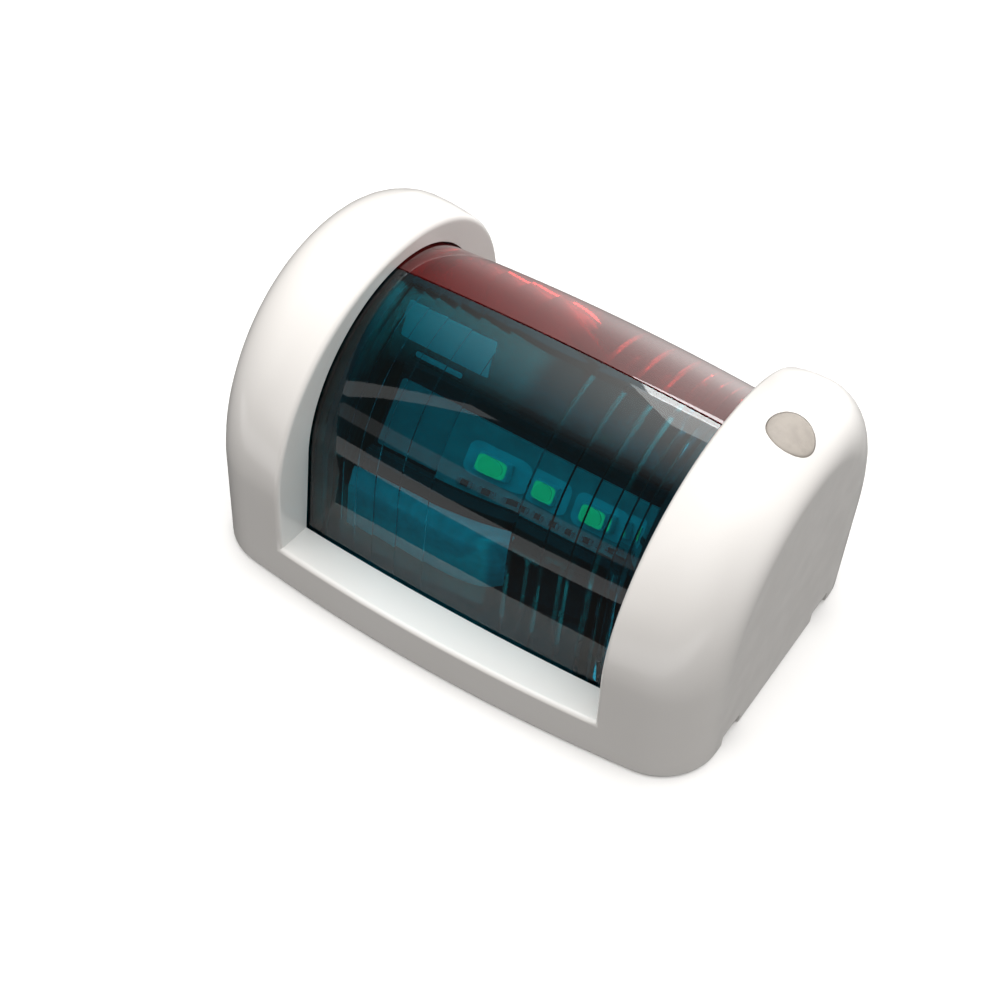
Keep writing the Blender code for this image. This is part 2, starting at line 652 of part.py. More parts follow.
def main():
    make_cover()
    make_screw_plug()
    make_cover_screw()
    make_base()
    make_seals()
    make_carrier()
    make_driver()
    for side in (STARBOARD, PORT):
        make_lens(side)
        make_led_board(side)
        make_led_lead(side)
    make_end_baffle("end_baffle_upper", -25.8, -24.6)
    make_end_baffle("end_baffle_lower", 24.6, 25.8)


main()
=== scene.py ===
"""The looks of a bulkhead bi-colour LED navigation light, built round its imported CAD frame.

Sizes below are millimetres and become metres where a mesh is made. +X runs towards the end with the
cover screw, -Y is the starboard (green) side and +Z points out of the mounting face.
"""

import math

import bmesh
import bpy
from mathutils import Matrix, Vector


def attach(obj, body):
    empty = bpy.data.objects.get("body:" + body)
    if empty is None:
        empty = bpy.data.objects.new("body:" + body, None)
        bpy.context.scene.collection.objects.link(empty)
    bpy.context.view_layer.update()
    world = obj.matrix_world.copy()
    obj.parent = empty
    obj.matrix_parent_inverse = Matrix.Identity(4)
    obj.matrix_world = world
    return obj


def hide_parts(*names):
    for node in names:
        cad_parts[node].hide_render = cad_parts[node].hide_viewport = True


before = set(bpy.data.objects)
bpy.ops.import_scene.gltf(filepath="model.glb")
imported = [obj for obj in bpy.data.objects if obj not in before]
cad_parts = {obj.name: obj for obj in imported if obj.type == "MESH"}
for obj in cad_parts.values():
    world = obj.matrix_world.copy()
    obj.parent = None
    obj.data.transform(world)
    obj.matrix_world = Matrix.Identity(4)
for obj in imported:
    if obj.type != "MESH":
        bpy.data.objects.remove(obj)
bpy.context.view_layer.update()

MM = 0.001

# The cover's form, as in the CAD
HALF_LENGTH = 42.0
WIDTH_AT_ENDS = 53.0
SIDE_BOW = 3.3
SIDE_FLARE = 0.8         # how much further out a side is at the springing of its arch
SPRING_Z = 18.4
CROWN_Z = 47.9
ARCH_POWER = 2.07        # 2 is an ellipse, and more is squarer
CROWN_X = 34.5
CROWN_FALL = 0.0384      # times the square of the distance in from CROWN_X
CROWN_MOST_FALL = 2.0
END_LEAN = math.tan(math.radians(0.3))
SIDE_ROUND = 8.2
TOP_ROUND = 8.0
COVER_FOOT = 0.3
COVER_WALL = 2.2
WINDOW_HALF = 27.2
LEDGE_Z = 6.78           # height of the ledge's plane at LEDGE_Y
LEDGE_Y = 21.0
LEDGE_SLOPE = 1.72 / 14.0
LEDGE_THICK = 1.6
LENS_CLEARANCE = 0.35
EDGE_ROUND = 1.15        # rounding of the window's outer edges
RIM_ROUND = 0.3
WINDOW_MARGIN = 0.2      # how far past the window an edge still counts as one of its edges
OPENING_MARGIN = 1.5     # an edge this near the lens belongs to the lens opening and stays sharp
NOTCH_Y = 14.0           # drain notches in one end
NOTCH_HALF = 2.6
NOTCH_DEPTH = 3.6
NOTCH_TOP = 2.5
NOTCH_ROUND = 0.2
CLEAR = 3.0              # how far a cutter reaches past a face
ABOVE_ALL = 60.0         # a height above the whole light

# Cover screw and plug
SCREW_X = 36.0
BORE_R = 3.5
SCREW_HOLE_R = 2.0
SCREW_HOLE_ENDS = (5.0, 20.0)      # of its cutter, clear of the tower's floor on both sides
TOWER_R = 4.8
TOWER_BOTTOM = 10.2
TOWER_FLOOR = 12.0
TOWER_TOP_DEPTH = 1.1    # of its top below the skin
PLUG_R = 3.43            # the soft plug nearly fills its bore
PLUG_SINK = 0.04         # of its top below the skin
PLUG_EDGE = 0.25
PLUG_BOTTOM = 39.5
PLUG_HOLLOW_TOP = 43.2
# The plug's side with its groove, its foot and its inner wall, as (inset from PLUG_R, z)
PLUG_SIDE = ((0.0, 42.9), (0.0, 42.3), (0.15, 42.0), (0.15, 41.6), (0.0, 41.3),
             (0.0, PLUG_BOTTOM + 0.2), (0.2, PLUG_BOTTOM), (1.0, PLUG_BOTTOM), (1.0, PLUG_HOLLOW_TOP))
# The screw's profile as (radius, z), and a turn of its thread as (radius, depth below the turn's top)
SCREW_HEAD = ((0.0, 15.85), (1.2, 15.8), (2.0, 15.6), (2.6, 15.25), (2.95, 14.8), (3.08, 14.3),
              (3.1, 13.5), (3.0, 13.4), (1.7, 13.4))
SCREW_TIP = ((1.1, 4.7), (0.0, 4.6))
THREAD_TURN = ((1.7, 0.0), (1.4, 0.25), (1.4, 0.35), (1.7, 0.6))
THREAD_TOP = 12.9
THREAD_END = 5.6
THREAD_PITCH = 0.7
RECESS_ARM = 1.7
RECESS_HALF = 0.32
RECESS_FLOOR = 14.5
RECESS_TOP = 17.0
RECESS_ROUND = 0.08

# Lens
LENS_R = 21.25
LENS_BULGE = 1.0
LENS_BULGE_HALF = 28.5
LENS_SPRING_Z = 21.5
LENS_DRAFT = math.tan(math.radians(2.5))
LENS_END = 28.85
LENS_WALL = 2.0
LENS_FOOT = 3.2
LENS_GAP = 0.3           # between the green and the red half
LENS_ARCH_STEPS = 80
PRISM_DEPTH = 0.9
PRISM_EDGES = (6.8, 11.8, 15.9, 19.2, 21.6, 23.4, 24.9)
PRISM_RISER = 0.05       # from a prism's edge to the stations on both sides of it

# Light engine: places along X, and heights above the seat of a LED board
LED_PLACES = (-4.4, 3.0, 10.4)
LED_FACE = (5.15, 20.275)     # (|y|, z) of the middle of the seat
LED_FACE_TURN = math.atan2(9.75, 6.5)
BOARD_ENDS = (-10.3, 16.3)
BOARD_TOP = 2.1
LED_SEAT = 2.4
LED_TOP = 3.3
LED_HALF = (1.78, 1.48)
LED_CORNER = 0.25
LED_EDGE = 0.12
PHOSPHOR_HALF = (1.66, 1.36)
PHOSPHOR_CORNER = 0.7
PHOSPHOR_PROUD = 0.05
PHOSPHOR_SUNK = 0.1
PHOSPHOR_EDGE = 0.03
DOME_R = 1.4
DOME_RISE = 0.58
DOME_FOOT = LED_TOP + 0.07
DOME_LIP = 0.01
SOLDER_X = 1.1                # of a solder joint from the middle of its LED
SOLDER_HALF = (0.6, 1.35)
SOLDER_GAP = 0.03             # to the board
SOLDER_INTO_BODY = 0.05
PAD_HALF = (3.3, 2.6)
PAD_CORNER = 1.3
PAD_THICK = 0.06
CHIP_GAPS = 8                 # between the chip resistors in a row
CHIP_PAST_LEDS = 2.2
CHIP_Y = 4.1
CHIP_HALF = (0.45, 0.4)
CHIP_HIGH = 0.45
CHIP_GAP = 0.02               # to the board
TIP_X = (0.44, 0.8)           # a resistor's metal end, from the middle of the resistor
TIP_PROUD = 0.02
TIP_GAP = 0.01                # to the board

# What lies beside the light engine
REFLECTOR_END = 21.0
REFLECTOR_HALF = 5.2
REFLECTOR_GAP = 0.4           # to the board
REFLECTOR_THICK = 0.3
REFLECTOR_CORNER = 0.5
REFLECTOR_EDGE = 0.06
CARD_OUTER = ((14.3, 4.8), (14.3, 12.4), (13.9, 13.1), (11.6, 13.7))      # (|y|, z)
CARD_INNER = ((13.9, 4.8), (13.9, 12.4), (13.6, 12.8), (11.5, 13.3))
CARD_STATIONS = (-22.0, -12.0, -11.8, 0.5)      # the ends along X and two places between them
CARD_ROUND = 0.1
DIVIDER_HALF = 0.6            # half its thickness
FOIL_THICK = 0.14
FOIL_CORNER = 0.4
FOIL_EDGE = 0.04
FOIL_STRIPS = ((-23.0, -8.6, 30.6, 37.9), (-20.5, -13.0, 28.0, 29.0))     # (low x, high x, low z, high z)

PORT, STARBOARD = 1, -1
SIDE_NAMES = {STARBOARD: "green", PORT: "red"}


# ---------------------------------------------------------------- mesh helpers

def steps(low, high, count):
    """Evenly spaced values from low to high, with count gaps between them."""
    return [low + (high - low) * i / count for i in range(count + 1)]


def new_object(name, mesh, materials=(), sharp=40.0):
    obj = bpy.data.objects.new(name, mesh)
    bpy.context.scene.collection.objects.link(obj)
    mesh.materials.clear()
    for material in materials:
        mesh.materials.append(material)
    mesh.shade_smooth()
    if sharp:
        mesh.set_sharp_from_angle(angle=math.radians(sharp))
    return obj


def bm_to_mesh(bm, name):
    bmesh.ops.recalc_face_normals(bm, faces=bm.faces)
    mesh = bpy.data.meshes.new(name)
    bm.to_mesh(mesh)
    bm.free()
    return mesh


def apply_modifiers(obj):
    graph = bpy.context.evaluated_depsgraph_get()
    mesh = bpy.data.meshes.new_from_object(obj.evaluated_get(graph))
    obj.modifiers.clear()
    obj.data = mesh


def boolean(target, cutter, operation="DIFFERENCE"):
    """Cuts or joins now, and removes the cutter."""
    modifier = target.modifiers.new("boolean", "BOOLEAN")
    modifier.object = cutter
    modifier.operation = operation
    bpy.context.view_layer.update()
    apply_modifiers(target)
    bpy.data.objects.remove(cutter)


def cylinder(name, radius, z_low, z_high, centre=(0.0, 0.0), segments=64):
    bm = bmesh.new()
    bmesh.ops.create_cone(bm, cap_ends=True, segments=segments, radius1=radius * MM,
                          radius2=radius * MM, depth=(z_high - z_low) * MM)
    bmesh.ops.translate(bm, vec=Vector((*centre, (z_low + z_high) / 2)) * MM, verts=bm.verts)
    return new_object(name, bm_to_mesh(bm, name))


def box(name, low, high, round_edges=0.0, segments=3):
    bm = bmesh.new()
    bmesh.ops.create_cube(bm, size=1.0)
    size, middle = Vector(high) - Vector(low), (Vector(high) + Vector(low)) / 2
    bmesh.ops.scale(bm, vec=size * MM, verts=bm.verts)
    bmesh.ops.translate(bm, vec=middle * MM, verts=bm.verts)
    if round_edges:
        bmesh.ops.bevel(bm, geom=bm.edges[:], offset=round_edges * MM, segments=segments,
                        profile=0.5, affect="EDGES")
    return new_object(name, bm_to_mesh(bm, name))


def grid(bm, rows):
    """Quads between rows of equally many points, given in millimetres."""
    made = [[bm.verts.new(Vector(p) * MM) for p in row] for row in rows]
    for row, following in zip(made, made[1:]):
        for a, b, c, d in zip(row, row[1:], following[1:], following):
            bm.faces.new((a, b, c, d))
    return made


def loft(name, sections):
    """A closed body through rings of points, with a flat face at each end."""
    bm = bmesh.new()
    grid(bm, [list(ring) + [ring[0]] for ring in sections])
    bmesh.ops.remove_doubles(bm, verts=bm.verts, dist=1e-7)
    bmesh.ops.holes_fill(bm, edges=[e for e in bm.edges if e.is_boundary], sides=0)
    return new_object(name, bm_to_mesh(bm, name))


def turned(name, profile, centre=(0.0, 0.0), segments=48):
    """A solid turned about an upright axis from (radius, z) points, both ends on the axis or closed."""
    bm = bmesh.new()
    rings = []
    for a in steps(0.0, 2 * math.pi, segments):
        rings.append([(centre[0] + r * math.cos(a), centre[1] + r * math.sin(a), z) for r, z in profile])
    grid(bm, rings)
    bmesh.ops.remove_doubles(bm, verts=bm.verts, dist=1e-6)
    return new_object(name, bm_to_mesh(bm, name))


# ---------------------------------------------------------------- materials

class Shader:
    """A Principled material whose colour, roughness and bump vary over the surface."""

    def __init__(self, name, colour, roughness, **sockets):
        self.material = bpy.data.materials.new(name)
        self.material.use_nodes = True
        self.tree = self.material.node_tree
        self.main = self.tree.nodes["Principled BSDF"]
        self.main.inputs["Base Color"].default_value = (*colour, 1.0)
        self.main.inputs["Roughness"].default_value = roughness
        for socket, value in sockets.items():
            self.main.inputs[socket.replace("_", " ")].default_value = value
        self.colour = colour
        self.coords = self.tree.nodes.new("ShaderNodeTexCoord").outputs["Object"]

    def node(self, kind, **values):
        made = self.tree.nodes.new(kind)
        for name, value in values.items():
            if name in made.inputs:
                made.inputs[name].default_value = value
            else:
                setattr(made, name, value)
        return made

    def noise(self, scale, detail=2.0):
        made = self.node("ShaderNodeTexNoise", Scale=scale, Detail=detail)
        self.tree.links.new(self.coords, made.inputs["Vector"])
        return made.outputs["Fac"]

    def vary_colour(self, factor, other):
        ramp = self.node("ShaderNodeMapRange")
        for name, value in (("From Min", 0.35), ("From Max", 0.65)):
            ramp.inputs[name].default_value = value
        self.tree.links.new(factor, ramp.inputs["Value"])
        mix = self.node("ShaderNodeMix", data_type="RGBA")
        colours = [s for s in mix.inputs if s.type == "RGBA"]
        colours[0].default_value = (*self.colour, 1.0)
        colours[1].default_value = (*other, 1.0)
        self.tree.links.new(ramp.outputs["Result"], mix.inputs["Factor"])
        result = [s for s in mix.outputs if s.type == "RGBA"][0]
        self.tree.links.new(result, self.main.inputs["Base Color"])

    def vary_roughness(self, factor, low, high):
        ramp = self.node("ShaderNodeMapRange")
        for name, value in (("From Min", 0.3), ("From Max", 0.7), ("To Min", low), ("To Max", high)):
            ramp.inputs[name].default_value = value
        self.tree.links.new(factor, ramp.inputs["Value"])
        self.tree.links.new(ramp.outputs["Result"], self.main.inputs["Roughness"])

    def bump(self, factor, strength, distance=0.0002):
        made = self.node("ShaderNodeBump", Strength=strength, Distance=distance)
        self.tree.links.new(factor, made.inputs["Height"])
        self.tree.links.new(made.outputs["Normal"], self.main.inputs["Normal"])


def white_plastic():
    s = Shader("white_asa_look", (0.825, 0.805, 0.785), 0.2, Specular_IOR_Level=0.5,
               Coat_Weight=0.25, Coat_Roughness=0.06)
    s.vary_colour(s.noise(60.0), (0.81, 0.788, 0.765))
    s.vary_roughness(s.noise(220.0), 0.17, 0.25)
    s.bump(s.noise(1400.0, 1.0), 0.03)
    return s.material


def plug_plastic():
    s = Shader("plug_grey_look", (0.37, 0.335, 0.30), 0.55)
    s.vary_colour(s.noise(700.0, 3.0), (0.33, 0.30, 0.27))
    s.bump(s.noise(4000.0, 3.0), 0.25, 0.0001)
    return s.material


def lens_plastic(name, colour, shadow_tint, clarity=1.0):
    """Clear tinted plastic, where clarity is its transmission weight.

    Shadow rays pass straight through it with a tint, so that the inside is lit.
    """
    s = Shader(name, colour, 0.02, Transmission_Weight=clarity, IOR=1.49, Specular_IOR_Level=0.5)
    s.vary_roughness(s.noise(90.0, 4.0), 0.012, 0.035)
    s.bump(s.noise(150.0, 1.0), 0.012, 0.0003)
    clear = s.node("ShaderNodeBsdfTransparent")
    clear.inputs["Color"].default_value = (*shadow_tint, 1.0)
    rays = s.node("ShaderNodeLightPath")
    mix_shader = s.node("ShaderNodeMixShader")
    output = s.tree.nodes["Material Output"]
    s.tree.links.new(rays.outputs["Is Shadow Ray"], mix_shader.inputs[0])
    s.tree.links.new(s.main.outputs["BSDF"], mix_shader.inputs[1])
    s.tree.links.new(clear.outputs["BSDF"], mix_shader.inputs[2])
    s.tree.links.new(mix_shader.outputs["Shader"], output.inputs["Surface"])
    return s.material


def moulded_black(name="black_plastic_look", colour=(0.022, 0.023, 0.025), roughness=0.42, ior=1.5):
    s = Shader(name, colour, roughness, IOR=ior)
    s.vary_colour(s.noise(300.0), tuple(c * 1.5 for c in colour))
    s.vary_roughness(s.noise(500.0), roughness - 0.06, roughness + 0.08)
    s.bump(s.noise(5000.0, 2.0), 0.15, 0.00008)
    return s.material


def plain(name, colour, roughness, other=None, scale=400.0, bump=0.08, **sockets):
    """A material whose colour and roughness change slightly over a finely uneven surface."""
    s = Shader(name, colour, roughness, **sockets)
    s.vary_colour(s.noise(scale, 3.0), other or tuple(c * 0.82 for c in colour))
    s.vary_roughness(s.noise(scale * 2), max(roughness - 0.05, 0.02), roughness + 0.07)
    s.bump(s.noise(scale * 8), bump, 0.0001)
    return s.material


WHITE = white_plastic()
PLUG = plug_plastic()
BLACK = moulded_black()
GLOSS_BLACK = moulded_black("divider_look", (0.02, 0.021, 0.023), 0.08, 2.3)
GREEN = lens_plastic("green_lens_look", (0.004, 0.43, 0.53), (0.02, 0.66, 0.74))
RED = lens_plastic("red_lens_look", (0.26, 0.012, 0.012), (0.58, 0.04, 0.04), 0.82)
SILICONE = lens_plastic("silicone_look", (0.97, 0.96, 0.92), (0.96, 0.95, 0.92))
RUBBER = plain("seal_rubber_look", (0.025, 0.025, 0.026), 0.75)
FOAM = plain("foam_look", (0.05, 0.05, 0.053), 0.95, scale=1500.0, bump=0.9)
STEEL = plain("stainless_look", (0.62, 0.62, 0.63), 0.26, scale=900.0, bump=0.05, Metallic=1.0)
BRASS = plain("brass_look", (0.75, 0.57, 0.25), 0.3, scale=700.0, Metallic=1.0)
ANODISED = plain("black_anodised_look", (0.05, 0.055, 0.06), 0.38, Metallic=0.8)
# The white LED boards are coloured grey as painted shade, and the white pads round their LEDs are painted
# light, a brighter ring round each LED.
BOARD = plain("board_white_painted_shade_look", (0.42, 0.44, 0.42), 0.35)
PAD_WHITE_PAINTED_LIGHT = plain("pad_white_painted_light_look", (0.85, 0.86, 0.84), 0.4)
REFLECTOR = plain("reflector_look", (0.40, 0.42, 0.41), 0.45, scale=250.0)
CARD = plain("insulating_card_look", (0.72, 0.74, 0.73), 0.6, scale=900.0)
FOIL = plain("foil_look", (0.86, 0.87, 0.88), 0.3, (0.80, 0.81, 0.83), scale=160.0, bump=0.5)
BOARD_GREEN = plain("board_green_look", (0.02, 0.16, 0.06), 0.3, (0.03, 0.22, 0.08))
CERAMIC = plain("led_ceramic_look", (0.85, 0.86, 0.84), 0.4)
# The phosphor's faint green emission is a painted glow, not a lamp.
PHOSPHOR = plain("led_phosphor_painted_glow_look", (0.90, 0.80, 0.22), 0.35, (0.86, 0.70, 0.12),
                 Emission_Color=(0.35, 1.0, 0.45, 1.0), Emission_Strength=0.4)
SOLDER = plain("solder_look", (0.70, 0.70, 0.72), 0.3, Metallic=1.0)
EPOXY = plain("chip_black_look", (0.018, 0.018, 0.018), 0.45)
THERMAL = plain("thermal_pad_look", (0.42, 0.47, 0.52), 0.9)
TERMINAL = plain("terminal_green_look", (0.04, 0.27, 0.10), 0.35)
SLEEVE = plain("lead_sleeve_look", (0.42, 0.03, 0.03), 0.45)


# ---------------------------------------------------------------- the cover

def side_half_width(x):
    return WIDTH_AT_ENDS / 2 + SIDE_BOW * (1 - (x / HALF_LENGTH) ** 2)


def lens_half_width(x):
    return LENS_R + LENS_BULGE * (1 - (x / LENS_BULGE_HALF) ** 2)


def arch_direction(angle):
    """The arch's unit outline at an angle, from -Y at 0 over the top to +Y at pi."""
    side, up = -math.cos(angle), math.sin(angle)
    return (math.copysign(abs(side) ** (2 / ARCH_POWER), side), max(up, 0.0) ** (2 / ARCH_POWER))


def end_radius(up):
    """Rounding between the outer skin and the flat end: small on the sides and large on the crown."""
    return SIDE_ROUND + (TOP_ROUND - SIDE_ROUND) * up ** 4


def cover_point(place, x=None, end=1, turn=0.0):
    """A point of the cover's skin at a place on the outline, either at x or at a turn round an end."""
    kind, value = place
    side, up = arch_direction(value) if kind == "arch" else (value[0], 0.0)
    radius = end_radius(up)
    run = HALF_LENGTH - radius
    inward = 0.0
    if x is None:
        x = end * (run + radius * math.sin(turn))
        inward = radius * (1 - math.cos(turn))
    elif abs(x) > run:
        inward = radius - math.sqrt(max(radius ** 2 - (abs(x) - run) ** 2, 0.0))
    foot_half = side_half_width(x)
    half = foot_half + SIDE_FLARE
    crown = max(CROWN_Z - CROWN_FALL * min(0.0, abs(x) - CROWN_X) ** 2, CROWN_Z - CROWN_MOST_FALL)
    rise = crown - SPRING_Z
    if kind == "arch":
        across = math.copysign(abs(side) ** (ARCH_POWER - 1), side) / half
        upward = up ** (ARCH_POWER - 1) / rise
        slope = math.hypot(across, upward)
        y = side * half - across / slope * inward
        z = SPRING_Z + up * rise - upward / slope * inward
    else:
        z = value[1] if value[1] is not None else ledge_height(ledge_outer(x))
        y = side * (foot_half + SIDE_FLARE * share_up_side(z) - inward)
    return (x * (1 - END_LEAN * z / HALF_LENGTH), y, z)


def share_up_side(z):
    """How far z is up a side, from 0 at its foot to 1 at the springing of the arch."""
    return (z - COVER_FOOT) / (SPRING_Z - COVER_FOOT)


def ledge_height(y):
    return LEDGE_Z + (abs(y) - LEDGE_Y) * LEDGE_SLOPE


def ledge_outer(x):
    """|y| where the ledge's plane meets the cover's side."""
    y = side_half_width(x)
    for _ in range(4):
        y = side_half_width(x) + SIDE_FLARE * share_up_side(ledge_height(y))
    return y


ARCH_STEPS = 72
SIDE_LEVELS = (9.8, 12.6, 15.6)
BELOW = (COVER_FOOT, 3.3, None)      # None stands for the ledge's height
RING_SHARES = (0.0, 0.3, 0.62, 1.0)  # from the window's edge in to the lens opening


def outline_places():
    up = [("side", (-1, z)) for z in (*BELOW, *SIDE_LEVELS)]
    over = [("arch", a) for a in steps(0.0, math.pi, ARCH_STEPS)]
    return up + over + [("side", (1, place[1][1])) for place in reversed(up)]


def cheek_skin(bm, end):
    """One cheek's outer skin, from its end face to the window."""
    places = outline_places()
    rows = [[cover_point(p, end=end, turn=math.radians(t)) for p in places] for t in range(90, -1, -9)]
    for share in (0.35, 0.65, 1.0):
        row = []
        for place in places:
            run = HALF_LENGTH - end_radius(arch_direction(place[1])[1] if place[0] == "arch" else 0.0)
            row.append(cover_point(place, x=end * (run + (WINDOW_HALF - run) * share)))
        rows.append(row)
    made = grid(bm, rows)
    bm.faces.new(made[0])


def opening_point(place, x):
    """The point of the lens opening that goes with a place on the outline."""
    half = lens_half_width(x) + LENS_CLEARANCE
    kind, value = place
    if kind == "arch":
        return (x, -math.cos(value) * half, LENS_SPRING_Z + math.sin(value) * half)
    low = ledge_height(half)
    share = 0.0
    if value[1] is not None:
        share = (value[1] - ledge_height(ledge_outer(x))) / (SPRING_Z - ledge_height(ledge_outer(x)))
    half += LENS_DRAFT * (LENS_SPRING_Z - low) * (1 - share)
    low = ledge_height(half)
    return (x, value[0] * half, low + (LENS_SPRING_Z - low) * share)


def mix(a, b, share):
    return tuple(p + (q - p) * share for p, q in zip(a, b))


def cheek_wall(bm, end):
    """The flat wall that faces the lens."""
    places = outline_places()
    skip = len(BELOW) - 1
    places = places[skip:len(places) - skip]
    x = end * WINDOW_HALF
    outer = [cover_point(p, x=x) for p in places]
    inner = [opening_point(p, outer[i][0]) for i, p in enumerate(places)]
    grid(bm, [[mix(a, b, share) for a, b in zip(outer, inner)] for share in RING_SHARES])


def side_rail(bm, side):
    """The cover's side below the window, with its ledge."""
    rows = []
    for x in steps(-WINDOW_HALF, WINDOW_HALF, 36):
        skin = [cover_point(("side", (side, z)), x=x) for z in BELOW]
        lip = opening_point(("side", (side, None)), skin[-1][0])
        rows.append(skin[:-1] + [mix(skin[-1], lip, share) for share in RING_SHARES])
    grid(bm, rows)


def convex_sharp_edges(bm, limit=50.0):
    found = []
    for edge in bm.edges:
        if len(edge.link_faces) == 2 and edge.calc_face_angle_signed(0.0) > math.radians(limit):
            found.append(edge)
    return found


def on_window_edge(edge):
    middle = (edge.verts[0].co + edge.verts[1].co) / 2 / MM
    reach = math.hypot(middle.y, max(middle.z - LENS_SPRING_Z, 0.0))
    between_cheeks = abs(middle.x) < WINDOW_HALF + WINDOW_MARGIN
    clear_of_lens = reach > lens_half_width(middle.x) + OPENING_MARGIN
    return between_cheeks and clear_of_lens and middle.z > LEDGE_Z - LEDGE_THICK


def make_cover():
    bm = bmesh.new()
    for end in (-1, 1):
        cheek_skin(bm, end)
        cheek_wall(bm, end)
    for side in (-1, 1):
        side_rail(bm, side)
    bmesh.ops.remove_doubles(bm, verts=bm.verts, dist=2e-6)
    cover = new_object("cover_shell_skin", bm_to_mesh(bm, "cover_shell_skin"), sharp=0.0)
    walls = cover.vertex_groups.new(name="wall")
    for vertex in cover.data.vertices:
        x, y, z = vertex.co / MM
        on_ledge = abs(x) < WINDOW_HALF + 0.1 and abs(z - ledge_height(y)) < 0.02
        walls.add([vertex.index], LEDGE_THICK / COVER_WALL if on_ledge else 1.0, "REPLACE")
    solidify = cover.modifiers.new("wall", "SOLIDIFY")
    solidify.thickness = COVER_WALL * MM
    solidify.offset = -1.0
    solidify.use_even_offset = True
    solidify.use_quality_normals = True
    solidify.vertex_group = "wall"
    bpy.context.view_layer.update()
    apply_modifiers(cover)
    round_cover_edges(cover)

    boolean(cover, make_tower(), "UNION")
    boolean(cover, cylinder("bore", BORE_R, TOWER_FLOOR, ABOVE_ALL, (SCREW_X, 0.0), 96))
    boolean(cover, cylinder("hole", SCREW_HOLE_R, *SCREW_HOLE_ENDS, (SCREW_X, 0.0)))
    for y in (-NOTCH_Y, NOTCH_Y):
        low = (HALF_LENGTH - NOTCH_DEPTH, y - NOTCH_HALF, -CLEAR)
        high = (HALF_LENGTH + CLEAR, y + NOTCH_HALF, NOTCH_TOP)
        boolean(cover, box("notch", low, high, NOTCH_ROUND))
    cover.data.shade_smooth()
    cover.data.set_sharp_from_angle(angle=math.radians(48))
    cover.data.materials.clear()
    cover.data.materials.append(WHITE)
    cover.modifiers.new("even shading", "WEIGHTED_NORMAL").keep_sharp = True
    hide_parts("cover_shell")
    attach(cover, "cover")


def make_tower():
    """The pillar round the screw well, its top inside the thickness of the skin above it."""
    rows = []
    middle_top = crown_height(SCREW_X, 0.0) - TOWER_TOP_DEPTH
    for a in steps(0.0, 2 * math.pi, 64):
        x, y = SCREW_X + TOWER_R * math.cos(a), TOWER_R * math.sin(a)
        rows.append([(SCREW_X, 0.0, TOWER_BOTTOM), (x, y, TOWER_BOTTOM),
                     (x, y, crown_height(x, y) - TOWER_TOP_DEPTH), (SCREW_X, 0.0, middle_top)])
    bm = bmesh.new()
    grid(bm, rows)
    bmesh.ops.remove_doubles(bm, verts=bm.verts, dist=1e-6)
    return new_object("tower", bm_to_mesh(bm, "tower"))


def round_cover_edges(cover):
    bm = bmesh.new()
    bm.from_mesh(cover.data)
    sharp = convex_sharp_edges(bm)
    window = [edge for edge in sharp if on_window_edge(edge)]
    bmesh.ops.bevel(bm, geom=window, offset=EDGE_ROUND * MM, segments=5, profile=0.5,
                    affect="EDGES", clamp_overlap=True)
    foot = (COVER_FOOT + 0.1) * MM
    rims = [edge for edge in convex_sharp_edges(bm, 60.0) if all(vert.co.z < foot for vert in edge.verts)]
    bmesh.ops.bevel(bm, geom=rims, offset=RIM_ROUND * MM, segments=2, profile=0.5,
                    affect="EDGES", clamp_overlap=True)
    bm.to_mesh(cover.data)
    bm.free()


# ---------------------------------------------------------------- screw plug and screw

def crown_height(x, y):
    """Height of the cover's skin above (x, y), found by halving a stretch of the arch."""
    low, high = math.radians(20), math.radians(160)
    for _ in range(40):
        middle = (low + high) / 2
        if cover_point(("arch", middle), x=x)[1] < y:
            low = middle
        else:
            high = middle
    return cover_point(("arch", (low + high) / 2), x=x)[2]


def make_plug():
    """A soft cup pressed into the screw well, its top shaped to the crown."""
    top = [(radius, 0.0) for radius in steps(0.0, PLUG_R - PLUG_EDGE, 8)[1:]]
    top += [(PLUG_R - PLUG_EDGE * (1 - math.sin(a)), PLUG_EDGE * (1 - math.cos(a)))
            for a in steps(0.0, math.pi / 2, 3)[1:]]
    rows = []
    for a in steps(0.0, 2 * math.pi, 64):
        row = [(SCREW_X, 0.0, crown_height(SCREW_X, 0.0) - PLUG_SINK)]
        for radius, down in top:
            x, y = SCREW_X + radius * math.cos(a), radius * math.sin(a)
            row.append((x, y, crown_height(x, y) - PLUG_SINK - down))
        for inset, z in PLUG_SIDE:
            radius = PLUG_R - inset
            row.append((SCREW_X + radius * math.cos(a), radius * math.sin(a), z))
        row.append((SCREW_X, 0.0, PLUG_HOLLOW_TOP))
        rows.append(row)
    bm = bmesh.new()
    grid(bm, rows)
    bmesh.ops.remove_doubles(bm, verts=bm.verts, dist=1e-6)
    plug = new_object("screw_plug_cup", bm_to_mesh(bm, "screw_plug_cup"), [PLUG])
    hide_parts("screw_plug")
    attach(plug, "plug")


def make_screw():
    profile = list(SCREW_HEAD)
    z = THREAD_TOP
    while z > THREAD_END:
        profile += [(radius, z - down) for radius, down in THREAD_TURN]
        z -= THREAD_PITCH
    screw = turned("cover_screw_pozi", profile + list(SCREW_TIP), (SCREW_X, 0.0))
    for along, across in ((RECESS_ARM, RECESS_HALF), (RECESS_HALF, RECESS_ARM)):
        low = (SCREW_X - along, -across, RECESS_FLOOR)
        high = (SCREW_X + along, across, RECESS_TOP)
        boolean(screw, box("recess", low, high, RECESS_ROUND, 1))
    finish_piece(screw, [STEEL], "cover_screw", "screw")


